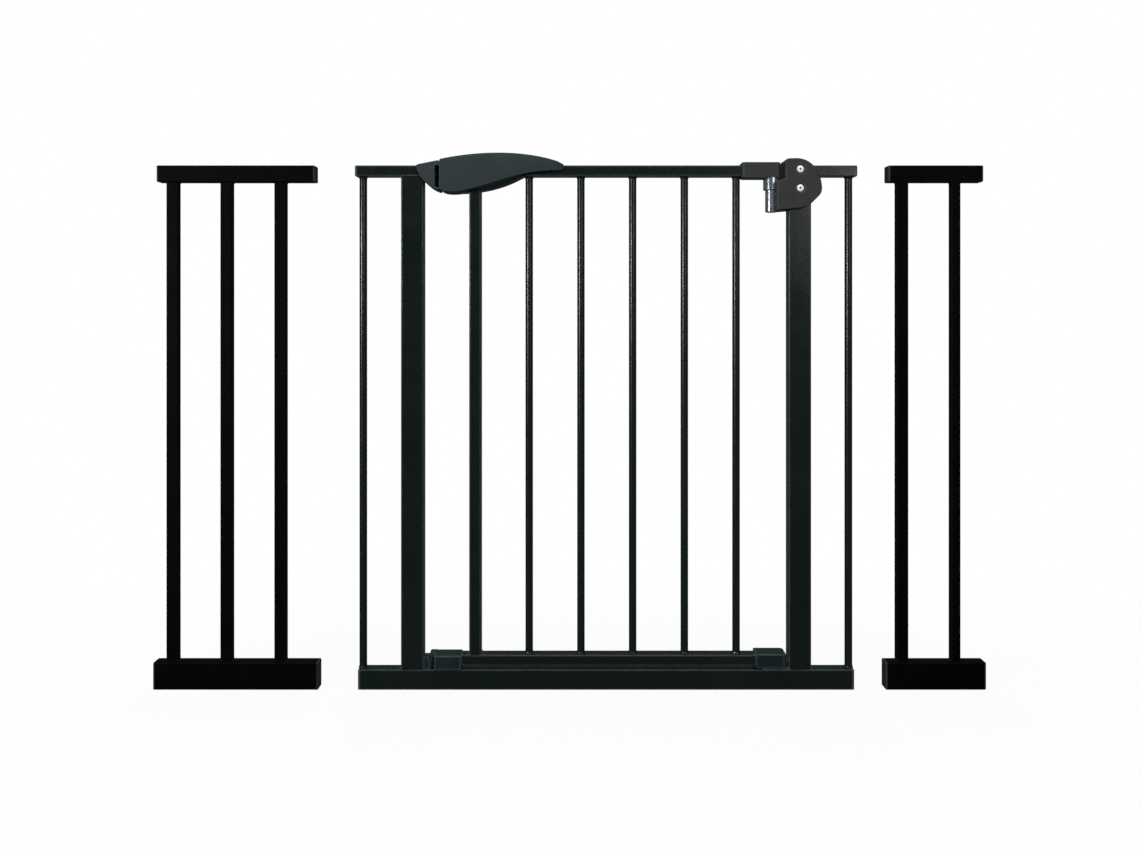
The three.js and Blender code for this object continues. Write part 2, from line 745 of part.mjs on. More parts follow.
// ---- Slide latch: thumb button, bolt and the leaf spring that holds the bolt where it is put ----
function thumbButton() {
  const slope = 0.11; // the pad's top follows the handle
  const base = padFloor + fit;
  const thickness = 2.6;
  const ridge = 1.5;
  const ridgeWidth = 2.4;
  const top = (x) => base + thickness + slope * (x - padStart);
  const outline = new THREE.Shape();
  outline.moveTo(padStart, base);
  outline.lineTo(padStart + padLength, base);
  const ridges = 4;
  const step = (padLength - ridgeWidth) / (ridges - 1);
  for (let i = ridges - 1; i >= 0; i--) {
    const x = padStart + i * step;
    outline.lineTo(x + ridgeWidth, top(x + ridgeWidth));
    outline.lineTo(x + 0.7 * ridgeWidth, top(x) + ridge);
    outline.lineTo(x + 0.3 * ridgeWidth, top(x) + ridge);
    outline.lineTo(x, top(x));
  }
  outline.closePath();
  const pad = plate(outline, -8.4, 8.4);
  const stem = block([stemStart, -stemHalfDepth, boltTop], [stemEnd, stemHalfDepth, base + 1]);
  return pad.add(stem);
}

function buildLatch() {
  const group = new THREE.Group();
  const tip = handleX - 0.4;
  const outline = new THREE.Shape();
  outline.moveTo(tip, boltBottom + 1.5).lineTo(tip + 1.5, boltBottom).lineTo(tip + boltLength, boltBottom);
  outline.lineTo(tip + boltLength, boltTop).lineTo(tip + 1.5, boltTop).lineTo(tip, boltTop - 1.5);
  outline.closePath();
  const thumb = new THREE.Group();
  thumb.add(mesh("thumb_button", thumbButton(), gripPlastic));
  thumb.add(mesh("latch_bolt", plate(outline, -boltHalfDepth, boltHalfDepth), zinc));

  const strip = 0.5;
  const floor = railBottom + tubeWall;
  const rise = boltBottom - floor - strip - fit;
  const start = handleX + 8;
  const length = 30;
  const leaf = new THREE.Shape();
  leaf.moveTo(start, floor);
  leaf.lineTo(start + 4, floor);
  leaf.quadraticCurveTo(start + length / 2, floor + 2 * rise, start + length - 4, floor);
  leaf.lineTo(start + length, floor);
  leaf.lineTo(start + length, floor + strip);
  leaf.lineTo(start + length - 4, floor + strip);
  leaf.quadraticCurveTo(start + length / 2, floor + 2 * rise + strip, start + 4, floor + strip);
  leaf.lineTo(start, floor + strip);
  leaf.closePath();
  group.add(thumb, mesh("detent_spring", plate(leaf, -5, 5), springSteel));
  return group;
}

// ---- Extension panels ----
// side is -1 for the panel left of the gate and 1 for the one right of it.
function buildPanel(name, panel, side) {
  const group = new THREE.Group();
  const { gap, bottomLength, topInset, barWidths, barStep, barShift } = panel;
  const bottomTube = bottomLength - 2 * flange;
  const topTube = bottomTube - 2 * topInset;
  const near = side * (sillHalf + flange + gap);
  const bottomStart = side < 0 ? near + flange - bottomLength : near + flange;
  const topStart = bottomStart + topInset;
  const bottomMiddle = panelBottomRail / 2;
  const topMiddle = gateHeight - panelTopRail / 2;
  const barLength = gateHeight - panelTopRail - panelBottomRail;
  const middle = bottomStart + bottomTube / 2;
  const firstBar = middle + barShift - 0.5 * barStep * (barWidths.length - 1);

  const bottomRail = railTube(panelBottomRail, bottomTube);
  const topRail = railTube(panelTopRail, topTube);
  group.add(mesh(name + "_bottom_rail", bottomRail, panelPaint, bottomStart, 0, bottomMiddle));
  group.add(mesh(name + "_top_rail", topRail, panelPaint, topStart, 0, topMiddle));
  barWidths.forEach((width, i) => {
    const bar = uprightTube(width, panelBarDepth, barLength);
    group.add(mesh(name + "_bar_" + (i + 1), bar, panelPaint, firstBar + i * barStep, 0, panelBottomRail));
  });
  const rails = [
    ["lower", panelBottomRail, bottomStart, bottomTube, bottomMiddle],
    ["upper", panelTopRail, topStart, topTube, topMiddle],
  ];
  for (const [level, height, start, length, z] of rails) {
    for (const end of [-1, 1]) {
      const atWall = end === side;
      const label = name + "_" + level + (atWall ? "_wall_plug" : "_gate_plug");
      const plug = mesh(label, endPlug(height, atWall), plugPlastic, end < 0 ? start : start + length, 0, z);
      plug.rotation.z = end < 0 ? Math.PI : 0;
      group.add(plug);
    }
  }
  return group;
}

// ---- The whole kit ----
const gate = new THREE.Group();
gate.add(buildFrame(), buildCatch(), buildBottomLug(), buildUpperHinge(), buildLowerBracket());
gate.add(buildHingePins(), buildDoor(), buildHandle(), buildLatch());
gate.add(buildPanel("left_panel", leftPanel, -1), buildPanel("right_panel", rightPanel, 1));

export default gate;
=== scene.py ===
"""Looks of the walk-through safety gate and its two extension panels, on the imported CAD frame."""

import json
import math
import random

import bmesh
import bpy
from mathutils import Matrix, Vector


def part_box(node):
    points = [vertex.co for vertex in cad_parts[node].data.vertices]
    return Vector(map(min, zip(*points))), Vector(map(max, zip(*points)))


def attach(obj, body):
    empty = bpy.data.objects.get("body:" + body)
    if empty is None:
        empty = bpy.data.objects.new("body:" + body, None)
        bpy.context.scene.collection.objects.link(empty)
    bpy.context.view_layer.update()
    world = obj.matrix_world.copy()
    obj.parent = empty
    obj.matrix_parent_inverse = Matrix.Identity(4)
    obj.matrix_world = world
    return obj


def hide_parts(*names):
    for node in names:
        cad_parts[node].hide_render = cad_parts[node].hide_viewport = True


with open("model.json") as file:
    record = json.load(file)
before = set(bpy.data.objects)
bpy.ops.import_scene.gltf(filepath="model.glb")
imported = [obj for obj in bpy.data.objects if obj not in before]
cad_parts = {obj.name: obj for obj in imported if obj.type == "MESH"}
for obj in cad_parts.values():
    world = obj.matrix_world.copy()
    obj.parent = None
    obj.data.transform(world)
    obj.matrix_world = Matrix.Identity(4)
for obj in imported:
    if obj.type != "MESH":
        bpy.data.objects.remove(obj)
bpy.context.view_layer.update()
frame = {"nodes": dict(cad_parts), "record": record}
MM = 0.001  # a millimetre in the scene's metres
FULL_TURN = 2 * math.pi
QUARTER_TURN = math.pi / 2
PHASE_RANGE = 6.28  # random phases are drawn from about one full turn
random.seed(7)


# ---------------------------------------------------------------- what the frame says


def box_of(node):
    """A node's lowest and highest corner in millimetres."""
    low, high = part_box(node)
    return [v / MM for v in low], [v / MM for v in high]


def round_about_y(node):
    """Middle (x, z) and radius, in millimetres, of a node that is round about Y."""
    low, high = box_of(node)
    return (low[0] + high[0]) / 2, (low[2] + high[2]) / 2, (high[0] - low[0]) / 2


def hinge_axis_x():
    """Where the door's upright hinge axis stands, in millimetres."""
    joints = frame["record"]["behaviour"]["joints"]
    return next(joint["pos_m"][0] for joint in joints if joint["name"] == "door_swing") / MM


SLOT_OF = {part["node"]: part["material_slot"] for part in frame["record"]["subparts"]}
BODY_OF = {n: body for body, names in frame["record"]["behaviour"]["bodies"].items() for n in names}
GATE_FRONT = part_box("bottom_rail")[0][1]
GATE_TOP = box_of("left_top_stub")[1][2]
POST_FACE_LEFT = box_of("left_post")[1][0]
POST_FACE_RIGHT = box_of("right_post")[0][0]
HINGE_X = hinge_axis_x()


# ---------------------------------------------------------------- camera, lights and floor


def make_camera():
    """A level camera a little above half the gate's height, left of its middle."""
    distance = 1.38  # from the front faces of the gate's tubes
    seen_width = 1.6546  # width of the picture at those faces
    height = 0.552
    picture_middle = 0.3813  # height of the picture's middle at those faces
    left_of_gate_middle = 0.0524
    data = bpy.data.cameras.new("camera")
    data.sensor_width = 36
    data.lens = data.sensor_width * distance / seen_width
    data.shift_y = (picture_middle - height) / seen_width
    data.clip_start = 0.05
    camera = bpy.data.objects.new("camera", data)
    camera.location = (-left_of_gate_middle, GATE_FRONT - distance, height)
    camera.rotation_euler = (QUARTER_TURN, 0, 0)
    bpy.context.collection.objects.link(camera)
    bpy.context.scene.camera = camera


# name, place, aim, size (all in metres), power in watts, and whether shiny surfaces show its reflection
LIGHTS = [
    ("front", (0.1, -3.3, 1.6), (0, 0, 0.45), (2.4, 1.2), 60, False),
    ("overhead", (0, -0.3, 3.0), (0, 0, 0), (2.4, 1.6), 8, False),
    ("strip", (1.75, -3.2, 1.1), (0.2, 0, 0.7), (1.3, 0.28), 6.8, True),
    ("side_strip", (-2.35, -2.15, 0.78), (0, 0, 0.6), (0.8, 0.26), 27, True),
    ("edge", (0, -2.2, 2.6), (0, 0, 0.4), (3.2, 0.5), 32, True),
    ("rear", (0, 3.2, 1.7), (0, 0, 0.45), (2.4, 1.2), 45, False),
    ("rear_edge", (0.2, 2.4, 2.7), (0, 0, 0.4), (3.2, 0.5), 9, True),
]


def area_light(name, place, aim, size, power, mirrored):
    """A rectangular light, turned to face its aim."""
    data = bpy.data.lights.new(name, "AREA")
    data.shape = "RECTANGLE"
    data.size, data.size_y = size
    data.energy = power
    light = bpy.data.objects.new(name, data)
    light.visible_glossy = mirrored
    light.location = place
    light.rotation_euler = (Vector(aim) - Vector(place)).to_track_quat("-Z", "Y").to_euler()
    bpy.context.collection.objects.link(light)


def make_world():
    """White where the camera sees it, a dim and slightly green even light on everything else."""
    light_color, light_strength = (0.75, 1, 0.97, 1), 0.1
    world = bpy.data.worlds.new("studio")
    world.use_nodes = True
    nodes, links = world.node_tree.nodes, world.node_tree.links
    nodes.clear()
    seen = nodes.new("ShaderNodeBackground")
    seen.inputs["Color"].default_value = (1, 1, 1, 1)
    around = nodes.new("ShaderNodeBackground")
    around.inputs["Color"].default_value = light_color
    around.inputs["Strength"].default_value = light_strength
    path = nodes.new("ShaderNodeLightPath")
    mix = nodes.new("ShaderNodeMixShader")
    out = nodes.new("ShaderNodeOutputWorld")
    links.new(path.outputs["Is Camera Ray"], mix.inputs["Fac"])
    links.new(around.outputs[0], mix.inputs[1])
    links.new(seen.outputs[0], mix.inputs[2])
    links.new(mix.outputs[0], out.inputs["Surface"])
    bpy.context.scene.world = world


def make_floor():
    """A pale floor that turns into the white background away from the object."""
    half = 40  # metres
    below_object = 0.0005
    white_near, white_far = 0.94, 1  # share of plain white, which takes no shadow, close by and far off
    fade_start, fade_end = 0.25, 0.95
    fade_shape = (0.62, 1.5, 1)  # the fade runs wider along X than along Y
    mesh = bpy.data.meshes.new("floor")
    corners = [(-half, -half, 0), (half, -half, 0), (half, half, 0), (-half, half, 0)]
    mesh.from_pydata(corners, [], [(0, 1, 2, 3)])
    floor = bpy.data.objects.new("floor", mesh)
    floor.location.z = -below_object
    bpy.context.collection.objects.link(floor)
    material = bpy.data.materials.new("floor")
    material.use_nodes = True
    nodes, links = material.node_tree.nodes, material.node_tree.links
    nodes.clear()
    place = nodes.new("ShaderNodeTexCoord")
    squeeze = nodes.new("ShaderNodeMapping")
    squeeze.inputs["Scale"].default_value = fade_shape
    reach = nodes.new("ShaderNodeVectorMath")
    reach.operation = "LENGTH"
    fade = nodes.new("ShaderNodeMapRange")
    fade.interpolation_type = "SMOOTHSTEP"
    fade.inputs["From Min"].default_value = fade_start
    fade.inputs["From Max"].default_value = fade_end
    fade.inputs["To Min"].default_value = white_near
    fade.inputs["To Max"].default_value = white_far
    paint = nodes.new("ShaderNodeBsdfDiffuse")
    paint.inputs["Color"].default_value = (0.9, 0.9, 0.9, 1)
    glow = nodes.new("ShaderNodeEmission")
    mix = nodes.new("ShaderNodeMixShader")
    out = nodes.new("ShaderNodeOutputMaterial")
    links.new(place.outputs["Object"], squeeze.inputs["Vector"])
    links.new(squeeze.outputs["Vector"], reach.inputs[0])
    links.new(reach.outputs["Value"], fade.inputs["Value"])
    links.new(fade.outputs["Result"], mix.inputs["Fac"])
    links.new(paint.outputs[0], mix.inputs[1])
    links.new(glow.outputs[0], mix.inputs[2])
    links.new(mix.outputs[0], out.inputs["Surface"])
    mesh.materials.append(material)
    floor.visible_glossy = False
    floor.visible_diffuse = False


def make_stage():
    make_camera()
    make_world()
    make_floor()
    bpy.context.scene.view_settings.view_transform = "Standard"
    for light in LIGHTS:
        area_light(*light)


# ---------------------------------------------------------------- materials


def new_material(name):
    material = bpy.data.materials.new(name)
    material.use_nodes = True
    nodes = material.node_tree.nodes
    return material, nodes, material.node_tree.links, nodes["Principled BSDF"]


def noise_of(nodes, links, scale, detail=3.0, roughness=0.55):
    """A noise texture in the object's own coordinates; scale is in waves per metre."""
    place = nodes.new("ShaderNodeTexCoord")
    noise = nodes.new("ShaderNodeTexNoise")
    noise.inputs["Scale"].default_value = scale
    noise.inputs["Detail"].default_value = detail
    noise.inputs["Roughness"].default_value = roughness
    links.new(place.outputs["Object"], noise.inputs["Vector"])
    return noise.outputs["Fac"]


def ramp_between(nodes, links, factor, low, high):
    """A colour between low and high, blended over the middle of the factor's range."""
    ramp = nodes.new("ShaderNodeValToRGB")
    for element, position, color in zip(ramp.color_ramp.elements, (0.35, 0.65), (low, high)):
        element.position = position
        element.color = (*color, 1)
    links.new(factor, ramp.inputs["Fac"])
    return ramp.outputs["Color"]


def spread(nodes, links, factor, low, high, start=0.3, end=0.7):
    """A number that runs from low to high while the factor runs from start to end."""
    remap = nodes.new("ShaderNodeMapRange")
    remap.inputs["From Min"].default_value = start
    remap.inputs["From Max"].default_value = end
    remap.inputs["To Min"].default_value = low
    remap.inputs["To Max"].default_value = high
    links.new(factor, remap.inputs["Value"])
    return remap.outputs["Result"]


def bump(nodes, links, height, distance, strength, under=None):
    """A bumped normal, laid over the normal under it where there is one."""
    node = nodes.new("ShaderNodeBump")
    node.inputs["Strength"].default_value = strength
    node.inputs["Distance"].default_value = distance
    links.new(height, node.inputs["Height"])
    if under is not None:
        links.new(under, node.inputs["Normal"])
    return node.outputs["Normal"]


def edge_mask(nodes, links, radius):
    """1 along the edges of a solid, 0 on its flat faces."""
    start, end = 0.01, 0.09  # drop in the normals' dot product where the mask begins and where it is full
    rounded = nodes.new("ShaderNodeBevel")
    rounded.samples = 4
    rounded.inputs["Radius"].default_value = radius
    true_normal = nodes.new("ShaderNodeNewGeometry")
    dot = nodes.new("ShaderNodeVectorMath")
    dot.operation = "DOT_PRODUCT"
    links.new(rounded.outputs["Normal"], dot.inputs[0])
    links.new(true_normal.outputs["Normal"], dot.inputs[1])
    return spread(nodes, links, dot.outputs["Value"], 1, 0, 1 - end, 1 - start)


def paint_edge_highlight(nodes, links, color, mask, highlight_paint, amount):
    """Paints a highlight colour into a colour along the edges, where the mask and a patchy noise allow it."""
    faintest = 0.65  # of the tint, where the patches let least through
    patches = spread(nodes, links, noise_of(nodes, links, 160, 4), faintest, 1, 0.4, 0.62)
    both = nodes.new("ShaderNodeMath")
    both.operation = "MULTIPLY"
    links.new(mask, both.inputs[0])
    links.new(patches, both.inputs[1])
    weak = nodes.new("ShaderNodeMath")
    weak.operation = "MULTIPLY"
    weak.inputs[1].default_value = amount
    links.new(both.outputs[0], weak.inputs[0])
    mix = nodes.new("ShaderNodeMix")
    mix.data_type = "RGBA"
    links.new(weak.outputs[0], mix.inputs["Factor"])
    links.new(color, mix.inputs["A"])
    mix.inputs["B"].default_value = (*highlight_paint, 1)
    return mix.outputs["Result"]


def powder_coat(name, low, high, roughness, sheen, edge_highlight_color=None, peel_strength=0.22):
    """Black powder coat on steel: fine orange peel and faint cloudiness.

    Its edge colour argument is a highlight painted along its rounded edges; without it the edges are like the
    rest.
    """
    material, nodes, links, shader = new_material(name)
    cloud = noise_of(nodes, links, 9, 4)
    color = ramp_between(nodes, links, cloud, low, high)
    # a highlight painted along the rounded edges, where the lamps catch them
    if edge_highlight_color:
        edge_width, edge_amount = 2.6 * MM, 0.8
        edge = edge_mask(nodes, links, edge_width)
        color = paint_edge_highlight(nodes, links, color, edge, edge_highlight_color, edge_amount)
    links.new(color, shader.inputs["Base Color"])
    handled = noise_of(nodes, links, 30, 5, 0.6)
    gloss = spread(nodes, links, handled, roughness - 0.05, roughness + 0.07)
    links.new(gloss, shader.inputs["Roughness"])
    peel = bump(nodes, links, noise_of(nodes, links, 620, 2), 0.12 * MM, peel_strength)
    waves = bump(nodes, links, noise_of(nodes, links, 70, 2), 0.25 * MM, 0.5 * peel_strength, peel)
    links.new(waves, shader.inputs["Normal"])
    shader.inputs["Specular IOR Level"].default_value = sheen
    return material


def moulded_plastic(name, low, high, roughness, grain=0.3, edge_highlight_gain=2.2, metallic=0):
    """A moulded surface with a fine grain and a highlight painted along its edges; metallic plates it."""
    material, nodes, links, shader = new_material(name)
    cloud = noise_of(nodes, links, 22, 3)
    color = ramp_between(nodes, links, cloud, low, high)
    # the paler edge colour is a painted highlight along the rounded edges
    edge_width, edge_amount, least_edge_highlight = 2.4 * MM, 0.85, 0.03
    edge = edge_mask(nodes, links, edge_width)
    edge_highlight_tone = tuple(edge_highlight_gain * c + least_edge_highlight for c in high)
    color = paint_edge_highlight(nodes, links, color, edge, edge_highlight_tone, edge_amount)
    links.new(color, shader.inputs["Base Color"])
    shader.inputs["Metallic"].default_value = metallic
    rubbed = noise_of(nodes, links, 45, 5, 0.65)
    gloss = spread(nodes, links, rubbed, roughness - 0.06, roughness + 0.08)
    links.new(gloss, shader.inputs["Roughness"])
    fine = bump(nodes, links, noise_of(nodes, links, 2300, 2), 0.05 * MM, grain)
    coarse = bump(nodes, links, noise_of(nodes, links, 900, 2), 0.06 * MM, 0.6 * grain, fine)
    links.new(coarse, shader.inputs["Normal"])
    shader.inputs["Specular IOR Level"].default_value = 0.4
    return material


def plated_metal(name, low, high, roughness, metallic):
    """Plated or drawn steel with fine tool marks and dull spots."""
    material, nodes, links, shader = new_material(name)
    spots = noise_of(nodes, links, 260, 5, 0.6)
    links.new(ramp_between(nodes, links, spots, low, high), shader.inputs["Base Color"])
    gloss = spread(nodes, links, spots, roughness + 0.12, roughness - 0.05)
    links.new(gloss, shader.inputs["Roughness"])
    place = nodes.new("ShaderNodeTexCoord")
    stretch = nodes.new("ShaderNodeMapping")
    stretch.inputs["Scale"].default_value = (1, 1, 14)
    marks = nodes.new("ShaderNodeTexNoise")
    marks.inputs["Scale"].default_value = 420
    links.new(place.outputs["Object"], stretch.inputs["Vector"])
    links.new(stretch.outputs["Vector"], marks.inputs["Vector"])
    links.new(bump(nodes, links, marks.outputs["Fac"], 0.04 * MM, 0.25), shader.inputs["Normal"])
    shader.inputs["Metallic"].default_value = metallic
    return material


STEEL_EDGE_HIGHLIGHT = (0.16, 0.165, 0.165)  # painted highlight along the steel tubes' rounded edges, pale against the black paint
# a faint painted highlight along the panels' edges, a little lighter than their black paint
PANEL_EDGE_HIGHLIGHT = (0.012, 0.012, 0.012)
MATERIALS = {
    "painted_steel": powder_coat(
        "painted_steel", (0.0030, 0.0062, 0.0056), (0.0046, 0.0080, 0.0072), 0.22, 0.4, STEEL_EDGE_HIGHLIGHT, 0.16
    ),
    "bar_paint": powder_coat(
        "bar_paint", (0.0034, 0.0062, 0.0056), (0.0050, 0.0080, 0.0072), 0.24, 0.5, peel_strength=0.07
    ),
    "panel_paint": powder_coat(
        "panel_paint", (0.0006, 0.0006, 0.0006), (0.0012, 0.0012, 0.0012), 0.5, 0.05, PANEL_EDGE_HIGHLIGHT
    ),
    "handle_plastic": moulded_plastic(
        "handle_plastic", (0.0137, 0.0222, 0.0232), (0.0175, 0.0265, 0.0275), 0.54
    ),
    "hinge_plastic": moulded_plastic(
        "hinge_plastic", (0.0205, 0.0205, 0.021), (0.0245, 0.0245, 0.025), 0.52, edge_highlight_gain=3.5
    ),
    "block_plastic": moulded_plastic(
        "block_plastic", (0.005, 0.0095, 0.0105), (0.0075, 0.0125, 0.0135), 0.45, edge_highlight_gain=8
    ),
    "grip_plastic": moulded_plastic(
        "grip_plastic", (0.008, 0.010, 0.011), (0.011, 0.013, 0.014), 0.3, grain=0.12
    ),
    "plug_plastic": moulded_plastic(
        "plug_plastic", (0.008, 0.008, 0.008), (0.012, 0.012, 0.012), 0.5
    ),
    # the barrel and the collar mirror the lights as dark chrome does
    "dark_chrome": moulded_plastic(
        "dark_chrome", (0.36, 0.39, 0.44), (0.42, 0.45, 0.5), 0.16, 0.05, edge_highlight_gain=1, metallic=0.85
    ),
    "zinc": plated_metal("zinc", (0.86, 0.87, 0.86), (0.97, 0.97, 0.96), 0.3, 0.12),
    "spring_steel": plated_metal("spring_steel", (0.24, 0.25, 0.26), (0.4, 0.41, 0.42), 0.3, 0.9),
}


# ---------------------------------------------------------------- mesh tools

ON_AXIS = 0.01  # radius of a lathed ring that closes a solid at its axis


def new_piece(name, mesh, slot, body, *nodes, sharp=34, finish=None):
    """Links a finished mesh, gives it its material and body, and lets it stand for its CAD nodes."""
    mesh.validate()
    mesh.materials.clear()
    mesh.materials.append(MATERIALS[finish or slot])
    for polygon in mesh.polygons:
        polygon.use_smooth = True
    mesh.set_sharp_from_angle(angle=math.radians(sharp))
    piece = bpy.data.objects.new(name, mesh)
    bpy.context.collection.objects.link(piece)
    smooth = piece.modifiers.new("normals", "WEIGHTED_NORMAL")
    smooth.keep_sharp = True
    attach(piece, body)
    if nodes:
        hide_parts(*nodes)


def loft(name, rings, ends="capped"):
    """A mesh skinned over rings of equal length. ends is capped, or joined for a closed tube wall."""
    mesh = bpy.data.meshes.new(name)
    builder = bmesh.new()
    rows = [[builder.verts.new(point) for point in ring] for ring in rings]
    count = len(rows[0])
    pairs = list(zip(rows, rows[1:]))
    if ends == "joined":
        pairs.append((rows[-1], rows[0]))
    for low, high in pairs:
        for i in range(count):
            j = (i + 1) % count
            builder.faces.new((low[i], low[j], high[j], high[i]))
    if ends == "capped":
        builder.faces.new(rows[0][::-1])
        builder.faces.new(rows[-1])
    bmesh.ops.recalc_face_normals(builder, faces=builder.faces)
    builder.to_mesh(mesh)
    builder.free()
    return mesh


def arc(center, radius, start, end, steps):
    """Points on an arc in a plane; radius may be one number or one for each axis."""
    rx, ry = radius if isinstance(radius, tuple) else (radius, radius)
    angles = [start + (end - start) * i / steps for i in range(steps + 1)]
    return [(center[0] + rx * math.cos(a), center[1] + ry * math.sin(a)) for a in angles]


def circle(radius, count):
    """Points of a circle round the origin."""
    angles = [FULL_TURN * i / count for i in range(count)]
    return [(radius * math.cos(a), radius * math.sin(a)) for a in angles]


def rounded_rectangle(width, height, radius, steps=6):
    """Outline of a rounded rectangle round the origin, anticlockwise."""
    right, top = width / 2 - radius, height / 2 - radius
    points = []
    for i, (x, y) in enumerate([(right, top), (-right, top), (-right, -top), (right, -top)]):
        points += arc((x, y), radius, i * QUARTER_TURN, (i + 1) * QUARTER_TURN, steps)
    return points


def bezier(a, b, c, d, steps):
    """Points of a cubic curve, without its first point."""
    points = []
    for i in range(1, steps + 1):
        t = i / steps
        weights = ((1 - t) ** 3, 3 * t * (1 - t) ** 2, 3 * t * t * (1 - t), t ** 3)
        points.append(tuple(sum(w * p[k] for w, p in zip(weights, (a, b, c, d))) for k in range(2)))
    return points


def quadratic(a, b, c, steps):
    """Points of a quadratic curve, without its first point."""
    points = []
    for i in range(1, steps + 1):
        t = i / steps
        points.append(tuple((1 - t) ** 2 * a[k] + 2 * t * (1 - t) * b[k] + t * t * c[k] for k in range(2)))
    return points


def inset(outline, distance):
    """An anticlockwise outline moved inwards, corner by corner."""
    shortest = 0.6  # keeps sharp corners from running far out
    moved = []
    count = len(outline)
    for i, point in enumerate(outline):
        before = Vector(point) - Vector(outline[i - 1])
        after = Vector(outline[(i + 1) % count]) - Vector(point)
        before.normalize()
        after.normalize()
        left = Vector((-before.y, before.x)) + Vector((-after.y, after.x))
        length = max(left.length, shortest)
        left.normalize()
        shift = distance * 2 / length
        moved.append((point[0] + left.x * shift, point[1] + left.y * shift))
    return moved


def slab(name, outline, place, low, high, low_edge, high_edge, steps=5):
    """An outline made solid between two levels, with its rims rounded to the radii low_edge and high_edge.

    place turns (u, v, level) in millimetres into a point in metres.
    """
    rings = []
    for i in range(steps + 1):
        turn = QUARTER_TURN * i / steps
        ring = inset(outline, low_edge * (1 - math.sin(turn)))
        rings.append([place(u, v, low + low_edge * (1 - math.cos(turn))) for u, v in ring])
    for i in range(steps + 1):
        turn = QUARTER_TURN * i / steps
        ring = inset(outline, high_edge * (1 - math.cos(turn)))
        rings.append([place(u, v, high - high_edge * (1 - math.sin(turn))) for u, v in ring])
    return loft(name, rings)


def front_place(origin_x, origin_z):
    """For outlines seen from the front: u along X, v up, level along Y."""
    return lambda u, v, level: ((origin_x + u) * MM, level * MM, (origin_z + v) * MM)


def plan_place(u, v, level):
    """For outlines seen from above."""
    return (u * MM, v * MM, level * MM)


def lathe(name, profile, axis, count=48, ends="capped"):
    """A profile of (radius, level) pairs spun about an upright axis at (x, y), or about Y at (x, z)."""
    kind, first, second = axis
    rings = []
    for radius, level in profile:
        ring = [((first + a) * MM, (second + b) * MM) for a, b in circle(radius, count)]
        if kind == "z":
            rings.append([(x, y, level * MM) for x, y in ring])
        else:
            rings.append([(x, level * MM, z) for x, z in ring])
    return loft(name, rings, ends)


def box_mesh(low, high):
    """A plain box in millimetres, used only to cut."""
    (x0, y0, z0), (x1, y1, z1) = low, high
    ring = [(x0, y0), (x1, y0), (x1, y1), (x0, y1)]
    rings = [[(x * MM, y * MM, z * MM) for x, y in ring] for z in (z0, z1)]
    return loft("cutter", rings)


def carve(mesh, cutters):
    """Cuts closed meshes out of a closed mesh and returns the result as a new mesh."""
    body = bpy.data.objects.new("carved", mesh)
    bpy.context.collection.objects.link(body)
    tools = []
    for cutter in cutters:
        tool = bpy.data.objects.new("cutter", cutter)
        bpy.context.collection.objects.link(tool)
        tools.append(tool)
        step = body.modifiers.new("cut", "BOOLEAN")
        step.operation = "DIFFERENCE"
        step.solver = "EXACT"
        step.object = tool
    bpy.context.view_layer.update()
    result = bpy.data.meshes.new_from_object(body.evaluated_get(bpy.context.evaluated_depsgraph_get()))
    for item in [body, *tools]:
        old = item.data
        bpy.data.objects.remove(item)
        bpy.data.meshes.remove(old)
    result.name = "carved"
    return result


# ---------------------------------------------------------------- tubes, bars and welds

TUBE_DEPTH = 20
TUBE_CORNER = 2.0
TUBE_WALL = 1.2
SOFT_END = 0.3  # rounding at a cut tube's end
TUBE_WELD = 17  # length of the welds across a tube


def rect_tube(node, axis, grow=(0, 0)):
    """A drawn rectangular tube with rounded corners and softened ends. grow runs it on into its neighbours."""
    low, high = box_of(node)
    middle = [(a + b) / 2 for a, b in zip(low, high)]
    size = [b - a for a, b in zip(low, high)]
    others = [i for i in range(3) if i != axis]
    start, end = low[axis] - grow[0], high[axis] + grow[1]
    outer = rounded_rectangle(size[others[0]], size[others[1]], TUBE_CORNER)
    softened = inset(outer, SOFT_END)
    inner = inset(outer, TUBE_WALL)

    def ring(outline, level):
        points = []
        for u, v in outline:
            point = [0, 0, 0]
            point[axis] = level * MM
            point[others[0]] = (middle[others[0]] + u) * MM
            point[others[1]] = (middle[others[1]] + v) * MM
            points.append(tuple(point))
        return points

    rings = [
        ring(inner, start),
        ring(softened, start),
        ring(outer, start + SOFT_END),
        ring(outer, end - SOFT_END),
        ring(softened, end),
        ring(inner, end),
    ]
    mesh = loft(node, rings, "joined")
    new_piece(node + "_skin", mesh, SLOT_OF[node], BODY_OF[node], node)


def round_bar(node):
    """A round bar with an uneven weld bead laid round each end."""
    low, high = box_of(node)
    x, y = (low[0] + high[0]) / 2, (low[1] + high[1]) / 2
    bead_height, bead_width = 4.2, 1.2
    radius = (high[0] - low[0]) / 2 - bead_width
    count = 48
    phase = random.uniform(0, PHASE_RANGE)
    depths = [0, 0.25, 0.5, 0.75, 1]  # from the bar's end to where the bead runs out

    def ring(level, depth):
        points = []
        for i in range(count):
            angle = FULL_TURN * i / count
            ripple = 0.16 * math.sin(11 * angle + phase) + 0.1 * math.sin(5 * angle + 2 * phase)
            r = radius + max(0, bead_width * (1 - depth) ** 1.6 * (1 + ripple)) if depth < 1 else radius
            points.append(((x + r * math.cos(angle)) * MM, (y + r * math.sin(angle)) * MM, level * MM))
        return points

    rings = [ring(low[2] + depth * bead_height, depth) for depth in depths]
    rings += [ring(high[2] - depth * bead_height, depth) for depth in reversed(depths)]
    mesh = loft(node, rings)
    new_piece(node + "_skin", mesh, SLOT_OF[node], BODY_OF[node], node, sharp=60, finish="bar_paint")


